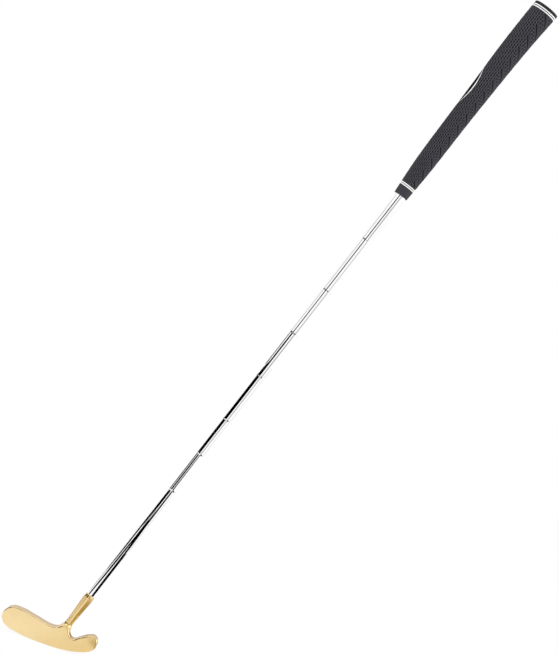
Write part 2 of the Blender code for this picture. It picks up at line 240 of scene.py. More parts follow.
def seen_directly(recipe):
    """One for camera, mirror and glass rays, and zero for light that falls on things."""
    camera_ray, mirror_ray, glass_ray = (
        recipe.node("ShaderNodeLightPath", output=f"Is {kind} Ray")
        for kind in ("Camera", "Glossy", "Transmission")
    )
    either = camera_ray.math("MAXIMUM", camera_ray, mirror_ray)
    return either.math("MAXIMUM", either, glass_ray)


SKY_LEVEL = 0.92

world = bpy.data.worlds.new("sky")
world.use_nodes = True
bpy.context.scene.world = world
sky = Recipe(world.node_tree)
background = world.node_tree.nodes["Background"]
background.inputs["Color"].default_value = (1, 1, 1, 1)
strength = SKY_LEVEL + (1 - SKY_LEVEL) * seen_directly(sky)
plug(world.node_tree, background.inputs["Strength"], strength)

FLOOR_RADIUS = 9
FLOOR_SIDES = 96
FLOOR_GLOW_SHARE, FLOOR_GLOW = 0.86, 1.035

floor_finish = Finish("studio_floor", Base_Color=(0.80, 0.80, 0.80, 1), Roughness=0.9)
glow = floor_finish.glow((1, 1, 1), FLOOR_GLOW)
matte = Wire(floor_finish.tree, floor_finish.shader.outputs[0])
share = seen_directly(floor_finish) * FLOOR_GLOW_SHARE
mixed = floor_finish.node("ShaderNodeMixShader", sockets={0: share, 1: matte, 2: glow})
floor_finish.show(mixed)

turns = np.linspace(0, 2 * math.pi, FLOOR_SIDES, endpoint=False)
rim = [(FLOOR_RADIUS * math.cos(t), FLOOR_RADIUS * math.sin(t), 0) for t in turns]
floor = add_mesh("studio_floor", rim, [range(FLOOR_SIDES)], floor_finish.material)

LAMP_SIZE, LAMP_WATTS = 1.6, 14
for name, place, target in (
    ("upper_lamp", (-1.3, -1.7, 2.2), (0.13, 0, 0.4)),
    ("side_lamp", (2.2, -0.1, 0.9), (0.24, 0, 0.74)),
):
    lamp = bpy.data.lights.new(name, "AREA")
    lamp.size = LAMP_SIZE
    lamp.energy = LAMP_WATTS
    lamp_object = bpy.data.objects.new(name, lamp)
    lamp_object.location = place
    aim = Vector(target) - Vector(place)
    lamp_object.rotation_euler = aim.to_track_quat("-Z", "Y").to_euler()
    bpy.context.collection.objects.link(lamp_object)
print("floor, sky and two soft lamps")

# %% [markdown]
# The head is taken to be cast brass, polished and washed in pale gold. Its flat blade
# is 18 mm thick with softly broken edges, and the hosel grows out of it through a
# fillet. A boolean would leave a hard line there, so the head is grown as a field
# instead: one number at every place, negative inside the metal. Two fields are joined
# with a round union, and the fillet comes with it.

# %% The blade's outline
HALF_THICKNESS = 9.0
EDGE_RADIUS = 1.3
BLADE_KNOTS = (
    (8.0, 0.0), (24.0, 1.2), (39.0, 4.2), (49.6, 8.2), (54.3, 12.1), (55.7, 18.0),
    (53.5, 24.4), (49.1, 26.3), (44.2, 24.8), (35.9, 19.9), (28.3, 15.6), (23.0, 19.9),
    (20.5, 25.0), (14.8, 26.2), (9.3, 23.1), (3.0, 21.7), (-17.7, 24.8), (-35.9, 27.7),
    (-46.1, 26.7), (-51.7, 21.7), (-53.6, 16.5), (-51.7, 10.2), (-46.1, 5.3),
    (-31.1, 1.7), (-12.0, 0.0),
)


def blade_outline(steps=24):
    """A smooth closed loop through the knots, as X and Z in millimetres."""
    curve = bpy.data.curves.new("outline", "CURVE")
    spline = curve.splines.new("BEZIER")
    spline.use_cyclic_u = True
    spline.bezier_points.add(len(BLADE_KNOTS) - 1)
    for knot, (x, z) in zip(spline.bezier_points, BLADE_KNOTS):
        knot.co = (x, z, 0)
        knot.handle_left_type = knot.handle_right_type = "AUTO"
    spline.bezier_points[0].handle_left_type = "VECTOR"
    spline.bezier_points[-1].handle_right_type = "VECTOR"
    holder = bpy.data.objects.new("outline", curve)
    bpy.context.collection.objects.link(holder)
    bpy.context.view_layer.update()
    knots = list(spline.bezier_points)
    loop = []
    for here, there in zip(knots, knots[1:] + knots[:1]):
        stretch = interpolate_bezier(
            here.co, here.handle_right, there.handle_left, there.co, steps
        )
        loop += [(point.x, point.y) for point in stretch[:-1]]
    bpy.data.objects.remove(holder)
    bpy.data.curves.remove(curve)
    return np.array(loop)


outline = blade_outline()
print(len(outline), "points round the blade")

# %% [markdown]
# The distance to the outline is worked out once on a fine grid and then read back by
# smooth interpolation. That is quick, and it also rounds off the tiny corners between
# the outline's points, which polished metal would show as ripples.

# %% Distance from the outline
GRID_STEP = 0.25
GRID_X = np.arange(-62, 64, GRID_STEP)
GRID_Z = np.arange(-6, 50, GRID_STEP)


def distance_to_loop(loop, grid_x, grid_z):
    """Distance from a closed loop at every point of the grid, negative inside."""
    x, z = np.meshgrid(grid_x, grid_z, indexing="ij")
    nearest = np.full(x.shape, np.inf)
    inside = np.zeros(x.shape, bool)
    for (x0, z0), (x1, z1) in zip(loop, np.roll(loop, -1, axis=0)):
        run, rise = x1 - x0, z1 - z0
        share = ((x - x0) * run + (z - z0) * rise) / (run * run + rise * rise)
        share = np.clip(share, 0, 1)
        gap = (x - x0 - share * run) ** 2 + (z - z0 - share * rise) ** 2
        nearest = np.minimum(nearest, gap)
        if rise:
            crossed = (z0 > z) != (z1 > z)
            inside ^= crossed & (x < x0 + run * (z - z0) / rise)
    return np.where(inside, -1, 1) * np.sqrt(nearest)


def soften(values, passes=6):
    for _ in range(passes):
        for axis in (0, 1):
            before, after = np.roll(values, 1, axis), np.roll(values, -1, axis)
            values = 0.25 * before + 0.5 * values + 0.25 * after
    return values


outline_map = soften(distance_to_loop(outline, GRID_X, GRID_Z))


def cubic_weights(t):
    return (
        0.5 * (-t + 2 * t**2 - t**3),
        0.5 * (2 - 5 * t**2 + 3 * t**3),
        0.5 * (t + 4 * t**2 - 3 * t**3),
        0.5 * (t**3 - t**2),
    )


def outline_distance(x, z):
    """Reads the distance map smoothly at any places."""
    i = np.clip((x - GRID_X[0]) / GRID_STEP, 1, len(GRID_X) - 3)
    j = np.clip((z - GRID_Z[0]) / GRID_STEP, 1, len(GRID_Z) - 3)
    column, row = i.astype(int), j.astype(int)
    total = 0
    for a, weight_x in enumerate(cubic_weights(i - column)):
        for b, weight_z in enumerate(cubic_weights(j - row)):
            total = total + weight_x * weight_z * outline_map[column + a - 1, row + b - 1]
    return total


print("blade is", round(outline[:, 0].max() - outline[:, 0].min(), 1), "mm long")

# %% [markdown]
# The hosel is a round rod on the shaft axis. It swells a little towards its rim and
# dies into the blade. The fillet is wide towards the toe, tighter in the notch at the
# heel, and tight at the front and back, where it must not spill over the flat faces.

# %% The head as a field
HOSEL_FOOT = 12.0
HOSEL_SIZES = ((12, 4.9), (28, 4.35), (36, 4.35), (46, 4.72), (56, 5.25), (66.6, 5.85))
FILLET_FRONT, FILLET_HEEL, FILLET_TOE = 3.4, 5.0, 5.8
NECK_TOP = 41.0


def smooth_between(t, low, slope_low, high, slope_high):
    """Goes from low to high as t goes from 0 to 1, with these slopes at the ends."""
    return (
        (2 * t**3 - 3 * t**2 + 1) * low
        + (t**3 - 2 * t**2 + t) * slope_low
        + (3 * t**2 - 2 * t**3) * high
        + (t**3 - t**2) * slope_high
    )


def hosel_radius(along):
    """Radius of the hosel: a smooth curve through its measured sizes."""
    places, sizes = np.array(HOSEL_SIZES).T
    slopes = np.gradient(sizes, places)
    along = np.clip(along, places[0], places[-1])
    k = np.clip(np.searchsorted(places, along, side="right") - 1, 0, len(places) - 2)
    span = places[k + 1] - places[k]
    t = (along - places[k]) / span
    return smooth_between(t, sizes[k], span * slopes[k], sizes[k + 1], span * slopes[k + 1])


def head_field(x, y, z):
    """Below zero inside the metal, in millimetres."""
    side = outline_distance(x, z) + EDGE_RADIUS
    face = np.abs(y) - HALF_THICKNESS + EDGE_RADIUS
    corner = np.hypot(np.maximum(side, 0), np.maximum(face, 0))
    blade = np.minimum(np.maximum(side, face), 0) + corner - EDGE_RADIUS
    across = (x - AXIS_AT_GROUND) * UP_Z - z * UP_X
    along = (x - AXIS_AT_GROUND) * UP_X + z * UP_Z
    off_axis = np.hypot(across, y)
    rod = np.maximum(off_axis - hosel_radius(along), HOSEL_FOOT - along)
    lean = across / np.maximum(off_axis, 0.001)
    wide = np.where(lean > 0, FILLET_HEEL, FILLET_TOE)
    fillet = FILLET_FRONT + (wide - FILLET_FRONT) * lean**2
    near_blade, near_rod = np.maximum(fillet - blade, 0), np.maximum(fillet - rod, 0)
    joined = np.maximum(fillet, np.minimum(blade, rod)) - np.hypot(near_blade, near_rod)
    return np.maximum(joined, along - NECK_TOP)


# %% [markdown]
# A surface net turns the field into a mesh. Each grid cell that the surface passes
# through gets one point, and each grid edge that it crosses gets one four-sided face.
# The points are then slid along the field until they lie exactly on the surface, so
# the striking faces come out truly flat. The grid is finer near the two faces, where
# the edges are rounded.


# %% From field to mesh
def surface_net(field, axes):
    """Points and faces of the field's zero surface, over a grid of unequal steps."""
    inside = field < 0
    shape = tuple(n - 1 for n in field.shape)
    total = np.zeros((*shape, 3))
    count = np.zeros(shape, int)
    corners = []
    for axis in range(3):
        size = field.shape[axis]
        low = np.take(field, range(size - 1), axis)
        high = np.take(field, range(1, size), axis)
        enters = np.take(inside, range(size - 1), axis)
        crossed = np.argwhere(enters != np.take(inside, range(1, size), axis))
        before = low[tuple(crossed.T)]
        share = before / (before - high[tuple(crossed.T)])
        point = np.stack([axes[k][crossed[:, k]] for k in range(3)], axis=1)
        step = axes[axis][crossed[:, axis] + 1] - axes[axis][crossed[:, axis]]
        point[:, axis] += share * step
        second, third = (axis + 1) % 3, (axis + 2) % 3
        cells = []
        for back_second, back_third in ((0, 0), (1, 0), (1, 1), (0, 1)):
            cell = crossed.copy()
            cell[:, second] -= back_second
            cell[:, third] -= back_third
            np.add.at(total, tuple(cell.T), point)
            np.add.at(count, tuple(cell.T), 1)
            cells.append(np.ravel_multi_index(tuple(cell.T), shape))
        cells = np.stack(cells, axis=1)
        leaves = ~enters[tuple(crossed.T)]
        cells[leaves] = cells[leaves][:, ::-1]
        corners.append(cells)
    used = np.flatnonzero(count)
    number = np.full(count.size, -1)
    number[used] = np.arange(len(used))
    points = total.reshape(-1, 3)[used] / count.reshape(-1)[used][:, None]
    return points, number[np.concatenate(corners)]


def field_slope(points, step=0.04):
    """The field's slope at each point, by small steps to either side."""
    slope = np.zeros_like(points)
    for axis in range(3):
        shift = np.zeros(3)
        shift[axis] = step
        ahead = head_field(*(points + shift).T)
        behind = head_field(*(points - shift).T)
        slope[:, axis] = (ahead - behind) / (2 * step)
    return slope


def settle(points, rounds=3):
    """Slides points along the field's slope on to its zero surface."""
    for _ in range(rounds):
        slope = field_slope(points)
        steepness = np.maximum((slope**2).sum(axis=1), 0.05)
        points = points - (head_field(*points.T) / steepness)[:, None] * slope
    return points


# %% The blade's net
NET_STEP = 0.38
FINE_DEPTHS = np.arange(7.2, 9.8, 0.22)
depths = np.concatenate((-FINE_DEPTHS[::-1], np.arange(-6.45, 6.5, 0.75), FINE_DEPTHS))
net_axes = (np.arange(-56, 58.5, NET_STEP), depths, np.arange(-2.5, 42.5, NET_STEP))
field = head_field(*np.meshgrid(*net_axes, indexing="ij"))
blade_points, blade_faces = surface_net(field, net_axes)
blade_points = settle(blade_points)
print(len(blade_points), "points,", len(blade_faces), "faces")

# %% [markdown]
# Above the fillet the hosel is simply round, so there the net is cut off square and
# turned rings take over. They carry the collar, the bevelled rim and the bore as crisp
# lines, which a net of this step would blur. The cut's points are joined to the first
# ring like a zip, each side stepping to the next angle in turn.

# %% The hosel's turned rings
CUT_ALONG, FIRST_RING, COLLAR_START = 39.0, 39.6, 66.4
RING_SIDES = 128
RIM_ALONG = 70.0
BORE_RADIUS, BORE_DEPTH = 4.42, 20.0
COLLAR_AND_BORE = (
    (5.84, 66.7), (5.80, 66.95), (5.72, 67.25), (5.30, 69.45), (5.22, 69.75),
    (5.08, 69.93), (4.90, RIM_ALONG), (4.62, RIM_ALONG), (4.50, 69.95),
    (BORE_RADIUS, 69.8), (BORE_RADIUS, 66.0), (BORE_RADIUS, RIM_ALONG - BORE_DEPTH),
)


def turned_rings(profile, sides):
    """One ring of points for each (radius, distance along) of a profile."""
    angle = np.linspace(0, 2 * math.pi, sides, endpoint=False)
    radius, along = (np.array(column)[:, None] for column in zip(*profile))
    return along_shaft(radius * np.cos(angle), radius * np.sin(angle), along)


def band_faces(first, rings, sides, closed=False):
    """Faces between neighbouring rings whose points are numbered from first."""
    faces = []
    for ring in range(rings if closed else rings - 1):
        low, high = first + ring * sides, first + (ring + 1) % rings * sides
        for i in range(sides):
            j = (i + 1) % sides
            faces.append((low + i, low + j, high + j, high + i))
    return faces


# %% From the net to the rings
def cut_neck(points, faces):
    """Cuts the net square across the axis. Gives its points, faces and cut edge."""
    shape = bmesh.new()
    made = [shape.verts.new(point) for point in points]
    for face in faces:
        shape.faces.new([made[i] for i in face])
    everything = shape.verts[:] + shape.edges[:] + shape.faces[:]
    axis_point = Vector((AXIS_AT_GROUND + CUT_ALONG * UP_X, 0, CUT_ALONG * UP_Z))
    axis_way = (UP_X, 0, UP_Z)
    bmesh.ops.bisect_plane(
        shape, geom=everything, plane_co=axis_point, plane_no=axis_way, clear_outer=True
    )
    shape.verts.index_update()
    rim = {v.index for edge in shape.edges if edge.is_boundary for v in edge.verts}
    new_points = np.array([v.co[:] for v in shape.verts])
    new_faces = [[v.index for v in face.verts] for face in shape.faces]
    shape.free()
    return new_points, new_faces, np.array(sorted(rim))


def zip_rings(lower, lower_angle, upper, upper_angle):
    """Triangles between two rings of unequal count, both sorted by angle."""
    lower_end, upper_end = len(lower), len(upper)
    lower, upper = [*lower, lower[0]], [*upper, upper[0]]
    lower_angle = [*lower_angle, lower_angle[0] + 2 * math.pi]
    upper_angle = [*upper_angle, upper_angle[0] + 2 * math.pi]
    faces = []
    i = j = 0
    while i < lower_end or j < upper_end:
        if j == upper_end or (i < lower_end and lower_angle[i + 1] <= upper_angle[j + 1]):
            faces.append((lower[i], lower[i + 1], upper[j]))
            i += 1
        else:
            faces.append((lower[i], upper[j + 1], upper[j]))
            j += 1
    return faces


net_points, head_faces, cut = cut_neck(blade_points, blade_faces)
offset_x, offset_z = net_points[:, 0] - AXIS_AT_GROUND, net_points[:, 2]
across = offset_x * UP_Z - offset_z * UP_X
angle = np.arctan2(net_points[:, 1], across) % (2 * math.pi)
cut = cut[np.argsort(angle[cut])]
cut_radius = float(hosel_radius(CUT_ALONG))
net_points *= MM
net_points[cut] = along_shaft(
    cut_radius * np.cos(angle[cut]), cut_radius * np.sin(angle[cut]), CUT_ALONG
)
plain = np.linspace(FIRST_RING, COLLAR_START, 40)
profile = [(float(hosel_radius(along)), along) for along in plain] + list(COLLAR_AND_BORE)
rings = turned_rings(profile, RING_SIDES)
first = len(net_points)
head_points = np.concatenate((net_points, rings.reshape(-1, 3)))
ring_angle = np.linspace(0, 2 * math.pi, RING_SIDES, endpoint=False)
head_faces += zip_rings(cut, angle[cut], range(first, first + RING_SIDES), ring_angle)
head_faces += band_faces(first, len(rings), RING_SIDES)
head_faces.append(tuple(range(len(head_points) - RING_SIDES, len(head_points))))
print(len(cut), "points round the cut")

# %% [markdown]
# The gold is bright but not a mirror. Its roughness drifts a little from place to
# place, as hand polishing leaves it, fine polishing lines run along the blade, and
# the wash is a shade deeper in places. Towards the heel the gold is painted darker
# still, and that is painted shade.


# %% Gold
def polished_gold():
    gold = Finish("head_gold", Metallic=1.0, IOR=1.5)
    drift = gold.noise(38, 4)
    lines = gold.noise(1, 5, 0.6, gold.place(scale=(160, 900, 2600)))
    specks = gold.noise(2600, 2)
    length = gold.node("ShaderNodeSeparateXYZ", sockets={"Vector": gold.place()})
    tone = gold.ramp(drift, (0.35, 0.0), (0.65, 1.0))
    # Painted shade: the gold is blended darker along the blade towards the heel.
    heel_shade_share = gold.ramp(length * 9.0 + 0.5 + drift * 0.1, (0.0, 0.0), (1.0, 1.0))
    toe_gold = gold.blend(tone, (0.94, 0.75, 0.43), (0.90, 0.695, 0.38))
    # A darker copy of the gold, painted shade for the heel end.
    shaded_heel_gold = gold.blend(tone, (0.87, 0.665, 0.325), (0.82, 0.60, 0.27))
    colour = gold.blend(heel_shade_share, toe_gold, shaded_heel_gold)
    roughness = 0.11 + drift * 0.05 + lines * 0.04
    return gold.surface(colour, roughness, gold.bump(lines + specks * 0.3, 0.06, 0.00002))


def dress(piece, nodes):
    """Shades a piece smooth and puts it on the model in place of its nodes."""
    piece.data.shade_smooth()
    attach(piece, "root")
    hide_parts(*nodes)
    print(piece.name, len(piece.data.polygons), "faces")


# %% The head
head = add_mesh("putter_head", head_points, head_faces, polished_gold())
normals = np.zeros((len(head_points), 3))
slope = field_slope(head_points[:first] / MM)
normals[:first] = slope / np.linalg.norm(slope, axis=1)[:, None]
dress(head, ["head"])
head.data.normals_split_custom_set_from_vertices(normals)

# %% [markdown]
# The shaft is a steel tube that was drawn down in seven steps and then chromed. Each
# step is a soft shoulder little more than a millimetre long, and it shows as a dark
# tick because it mirrors another part of the room. The tube is turned from a profile
# with eight points to each shoulder. A guard ring on either side of it keeps the long
# plain stretches truly straight in the mirror.

# %% The shaft
TIP_ALONG, BUTT_ALONG = 52.0, 884.0
TIP_RADIUS, BUTT_RADIUS = 4.2, 7.0
TUBE_WALL = 0.5
STEPS_ALONG = (216.5, 266.7, 314.5, 375.0, 435.3, 494.7, 565.2)
STEP_LENGTH, STEP_RINGS, SHOULDER_GUARD = 1.8, 9, 0.3
END_ROUND, END_RUN = 0.2, 0.3
SHAFT_SIDES = 96
SHAFT_LEAN = (0, -math.radians(18), 0)


def shaft_profile():
    """The tube's outside from the tip up, then its inside from the butt down."""
    rise = (BUTT_RADIUS - TIP_RADIUS) / len(STEPS_ALONG)
    outside = [(TIP_RADIUS - END_ROUND, TIP_ALONG), (TIP_RADIUS, TIP_ALONG + END_RUN)]
    outside += [(TIP_RADIUS, TIP_ALONG + END_RUN + SHOULDER_GUARD)]
    inside = [(TIP_RADIUS - TUBE_WALL, TIP_ALONG)]
    for number, place in enumerate(STEPS_ALONG):
        radius = TIP_RADIUS + rise * number
        start, end = place - STEP_LENGTH / 2, place + STEP_LENGTH / 2
        outside.append((radius, start - SHOULDER_GUARD))
        for share in np.linspace(0, 1, STEP_RINGS):
            swell = share * share * (3 - 2 * share)
            outside.append((radius + rise * swell, start + STEP_LENGTH * share))
        outside.append((radius + rise, end + SHOULDER_GUARD))
        inside += [(radius - TUBE_WALL, start), (radius + rise - TUBE_WALL, end)]
    outside += [(BUTT_RADIUS, BUTT_ALONG - END_RUN - SHOULDER_GUARD)]
    outside += [(BUTT_RADIUS, BUTT_ALONG - END_RUN), (BUTT_RADIUS - END_ROUND, BUTT_ALONG)]
    inside.append((BUTT_RADIUS - TUBE_WALL, BUTT_ALONG))
    return outside + inside[::-1]


def polished_chrome():
    chrome = Finish("shaft_chrome", Metallic=1.0)
    cloudy = chrome.noise(60, 3)
    draw_marks = chrome.noise(1, 4, 0.6, chrome.place((1800, 1800, 24), SHAFT_LEAN))
    tone = chrome.ramp(cloudy, (0.3, 0.0), (0.7, 1.0))
    colour = chrome.blend(tone, (0.955, 0.955, 0.96), (0.975, 0.975, 0.98))
    roughness = 0.02 + cloudy * 0.02 + draw_marks * 0.02
    return chrome.surface(colour, roughness, chrome.bump(draw_marks, 0.03, 0.00001))


def add_looped(name, loops, material):
    """A closed skin from loops of points, with the last one joined to the first."""
    faces = band_faces(0, len(loops), len(loops[0]), closed=True)
    return add_mesh(name, np.concatenate(loops), faces, material)


shaft_rings = turned_rings(shaft_profile(), SHAFT_SIDES)
shaft = add_looped("shaft_tube", shaft_rings, polished_chrome())
dress(shaft, ["shaft"])

# %% [markdown]
# A chromed tube shows nothing but the room. The dark lines that run down the real
# shaft are the gaps between white walls, so dark boards stand about the studio where
# its mirror finds them, and a few brown ones where the gold hosel's does. Each board
# is worked out backwards. A row of its table names a place along the axis and the
# stretch of the half width that should go dark. The sight line from the camera to that
# spot is mirrored there, and the board's corner is put on the mirrored line, 0.6 m out,
# or just above the floor where the line comes down there first, which brings the lowest
# boards close to the head. The dark ticks at the shoulders then come by themselves,
# because a shoulder's slope finds a lower board. The boards act on mirror rays alone,
# so they shade nothing. The lines match from this camera and change from elsewhere.

# %% Boards for the mirror
BOARD_REACH, FLOOR_GAP = 0.6, 0.004
BOARD_COLUMNS = 5
eye = np.array(camera.matrix_world.translation)


def skin_along(along):
    """Outer radius and its slope, on the hosel and on the shaft above it."""
    if along < RIM_ALONG:
        slope = float(hosel_radius(along + 0.5)) - float(hosel_radius(along - 0.5))
        return float(hosel_radius(along)), slope
    passed = sum(along > place for place in STEPS_ALONG)
    return TIP_RADIUS + (BUTT_RADIUS - TIP_RADIUS) * passed / len(STEPS_ALONG), 0.0


def board_corner(along, share):
    """Where a board stands to be mirrored at this share of the half width."""
    radius, slope = skin_along(along)
    deep = -math.sqrt(1 - share * share)
    spot = along_shaft(share * radius, deep * radius, along)
    square = along_shaft(share, deep, -slope) - along_shaft(0, 0, 0)
    square /= np.linalg.norm(square)
    sight = (spot - eye) / np.linalg.norm(spot - eye)
    mirrored = sight - 2 * (sight @ square) * square
    reach = BOARD_REACH
    if mirrored[2] < 0:
        reach = min(reach, (spot[2] - FLOOR_GAP) / -mirrored[2])
    return spot + reach * mirrored


def board_paint(name, tone):
    paint = Finish(name)
    paint.show(paint.glow(tone))
    return paint.material


def only_in_mirrors(board):
    for kind in ("camera", "diffuse", "transmission", "shadow"):
        setattr(board, f"visible_{kind}", False)


BLACK, FAINT, PALE = (0, 0, 0), (0.40,) * 3, (0.62,) * 3
BROWN, OCHRE, UMBER = (0.50, 0.39, 0.17), (0.50, 0.44, 0.24), (0.26, 0.17, 0.10)
STRIPS = (
    (BROWN, ((30, 0.12, 0.80), (38, 0.12, 0.86), (48, 0.14, 0.90), (58, 0.16, 0.90),
             (66, 0.20, 0.90))),
    (UMBER, ((38, 0.92, 0.98), (48, 0.92, 0.98), (58, 0.92, 0.98), (66, 0.92, 0.98))),
    (OCHRE, ((32, -0.58, -0.26), (42, -0.56, -0.24), (54, -0.52, -0.22), (66, -0.50, -0.20))),
    (UMBER, ((38, -0.96, -0.74), (48, -0.94, -0.72), (58, -0.92, -0.70), (66, -0.90, -0.68))),
    (BLACK, ((70, 0.24, 0.81), (95, 0.17, 0.82), (125, 0.17, 0.82), (131, 0.17, 0.80))),
    (BLACK, ((131, 0.17, 0.66), (139, 0.12, 0.64), (150, 0.04, 0.59), (165, 0.02, 0.49),
             (178, -0.01, 0.45), (192, 0.01, 0.42), (216.5, 0.02, 0.38))),
    (BLACK, ((70, -0.67, -0.33), (79, -0.62, -0.28), (95, -0.53, -0.12), (110, -0.47, -0.02),
             (125, -0.40, 0.03), (139, -0.34, 0.06), (150, -0.25, 0.15), (165, -0.24, 0.15),
             (173, -0.18, 0.15), (180, 0.02, 0.15))),
    (FAINT, ((74, -0.98, -0.91), (88, -0.90, -0.76), (104, -0.84, -0.70))),
    (BLACK, ((104, -0.86, -0.69), (125, -0.85, -0.55), (139, -0.84, -0.48), (165, -0.83, -0.44),
             (178, -0.82, -0.38), (186, -0.80, -0.28), (192, -0.79, -0.16), (216.5, -0.79, -0.17))),
    (FAINT, ((168, -0.42, -0.22), (176, -0.40, -0.08), (188, -0.30, 0.0))),
    (FAINT, ((134, 0.76, 0.82), (146, 0.76, 0.82))),
    (PALE, ((146, 0.76, 0.84), (213, 0.76, 0.84))),
    (BLACK, ((216.5, -0.79, -0.57), (266.7, -0.79, -0.57))),
    (BLACK, ((216.5, -0.46, -0.10), (266.7, -0.46, -0.10))),
    (BLACK, ((216.5, 0.02, 0.27), (266.7, 0.04, 0.23))),
    (BLACK, ((266.7, -0.77, -0.16), (314.5, -0.77, -0.16))),
    (BLACK, ((314.5, -0.73, -0.14), (375, -0.73, -0.14))),
    (BLACK, ((375, -0.69, -0.15), (386, -0.66, -0.14), (396, -0.45, -0.15), (435.3, -0.43, -0.15))),
    (BLACK, ((435.3, -0.33, -0.17), (494.7, -0.33, -0.17))),
    (BLACK, ((494.7, -0.30, -0.14), (565.2, -0.30, -0.14))),
    (BLACK, ((565.2, -0.28, -0.13), (640, -0.27, -0.11))),
    (FAINT, ((266.7, 0.07, 0.26), (314.5, 0.07, 0.26))),
    (FAINT, ((314.5, 0.09, 0.27), (375, 0.09, 0.27))),
    (FAINT, ((375, 0.12, 0.32), (435, 0.13, 0.34))),
    (PALE, ((268, 0.72, 0.80), (313, 0.73, 0.81), (316, 0.77, 0.84), (390, 0.77, 0.84))),
    (BLACK, ((390, -0.77, -0.62), (435.3, -0.75, -0.62))),
    (PALE, ((435.3, 0.15, 0.40), (494.7, 0.16, 0.40), (496, 0.20, 0.36), (565, 0.20, 0.36))),
    (FAINT, ((565.2, 0.09, 0.25), (640, 0.09, 0.25))),
    (PALE, ((435.3, -0.74, -0.60), (494.7, -0.74, -0.60), (496, -0.70, -0.56),
            (640, -0.70, -0.56))),
)


def add_board(name, tone, rows):
    """A board in the mirror, from rows of (along, share start, share end)."""
    points = [
        board_corner(along, share)
        for along, start, end in rows
        for share in np.linspace(start, end, BOARD_COLUMNS)
    ]
    corners = np.arange(len(points)).reshape(len(rows), BOARD_COLUMNS)
    low, high = corners[:-1], corners[1:]
    faces = np.stack((low[:, :-1], low[:, 1:], high[:, 1:], high[:, :-1]), axis=-1)
    faces = faces.reshape(-1, 4).tolist()
    only_in_mirrors(add_mesh(name, points, faces, board_paint(name, tone)))


for number, (tone, rows) in enumerate(STRIPS):
    add_board(f"board_{number}", tone, rows)

# %% [markdown]
# Three more boards are plain oblongs. A warm grey one stands low behind the head, where
# its top edge looks, and takes the glare off it, and a small brown one before it
# darkens the wall of the notch. A black one stands close beside the grip on the toe
# side and keeps the thumb panel black, though the panel is seen edge on.

# %% Boards behind
BOARDS = (
    ("board_behind_notch", (0.40, 0.31, 0.14),
     ((0.024, 0.1, 0.001), (0.05, 0.1, 0.001), (0.05, 0.1, 0.03), (0.024, 0.1, 0.03))),
    ("board_behind_head", (0.68, 0.61, 0.60),
     ((-0.24, 0.35, 0.001), (0.24, 0.35, 0.001), (0.24, 0.35, 0.15), (-0.24, 0.35, 0.15))),
    ("board_behind_grip", (0.0, 0.0, 0.0),
     ((0.27, 0.11, 0.67), (0.11, -0.04, 0.67), (0.11, -0.04, 0.87), (0.27, 0.11, 0.87))),
)
for name, tone, corners in BOARDS:
    only_in_mirrors(add_mesh(name, corners, [range(4)], board_paint(name, tone)))
print(len(STRIPS) + len(BOARDS), "boards")

# %% [markdown]
# The grip is a pistol shape: round at its mouth, then flat towards the toe and round
# towards the heel, and widest at the cap. Its half sizes are measured at eight
# stations and joined by smooth curves. Round each section the points are spread by
# length, with one column of them on the line where the moulded chevrons turn.

# %% The grip's sections
GRIP_MOUTH, GRIP_LENGTH = 627.0, 262.0
GRIP_SHAPE = np.array((
    (0.000, 8.40, 8.05, 8.0, 2.0),
    (0.055, 9.7, 8.8, 8.9, 2.1),
    (0.180, 11.9, 9.75, 10.5, 2.6),
    (0.390, 13.05, 9.95, 11.4, 3.0),
    (0.570, 13.8, 10.65, 11.9, 3.0),
    (0.720, 14.95, 11.55, 12.4, 2.8),
    (0.860, 15.1, 13.0, 13.1, 2.5),
    (1.000, 14.5, 15.4, 13.9, 2.2),
))
HEEL_COLUMNS, TOE_COLUMNS = 51, 77
HALF_COLUMNS = HEEL_COLUMNS + TOE_COLUMNS
COLUMNS = 2 * HALF_COLUMNS
CHEVRON_LINE = 2.2
SECTION_STEPS = 1440


def grip_sizes(distance):
    """Toe, heel and side half sizes and squareness at distances from the mouth."""
    share = np.clip(np.asarray(distance, float) / GRIP_LENGTH, 0, 1)
    last = len(GRIP_SHAPE) - 1
    k = np.clip(np.searchsorted(GRIP_SHAPE[:, 0], share, side="right") - 1, 0, last - 1)
    before, low = GRIP_SHAPE[np.maximum(k - 1, 0)], GRIP_SHAPE[k]
    high, after = GRIP_SHAPE[k + 1], GRIP_SHAPE[np.minimum(k + 2, last)]
    span = (high[..., 0] - low[..., 0])[..., None]
    t = (share - low[..., 0])[..., None] / span
    slope_low = (high - before)[..., 1:] / (high - before)[..., :1] * span
    slope_high = (after - low)[..., 1:] / (after - low)[..., :1] * span
    return smooth_between(t, low[..., 1:], slope_low, high[..., 1:], slope_high)


def half_section(distance):
    """One side of a section, from the heel's middle line round to the toe's. Gives
    across, depth and the distance round from the chevron line, for each column."""
    toe, heel, side, squareness = grip_sizes(distance)
    t = np.linspace(0, math.pi, SECTION_STEPS + 1)
    c, s = np.cos(t), np.clip(np.sin(t), 0, 1)
    power = np.where(c < 0, 2 / squareness, 1)
    across = np.sign(c) * np.abs(c) ** power * np.where(c < 0, toe, heel)
    depth = s**power * side
    length = np.concatenate(([0], np.cumsum(np.hypot(np.diff(across), np.diff(depth)))))
    turn = np.interp(-CHEVRON_LINE, -across, length)
    heel_part = np.linspace(0, turn, HEEL_COLUMNS + 1)
    toe_part = np.linspace(turn, length[-1], TOE_COLUMNS + 1)
    place = np.concatenate((heel_part, toe_part[1:]))
    columns = [np.interp(place, length, values) for values in (across, depth)]
    return (*columns, np.abs(place - turn))


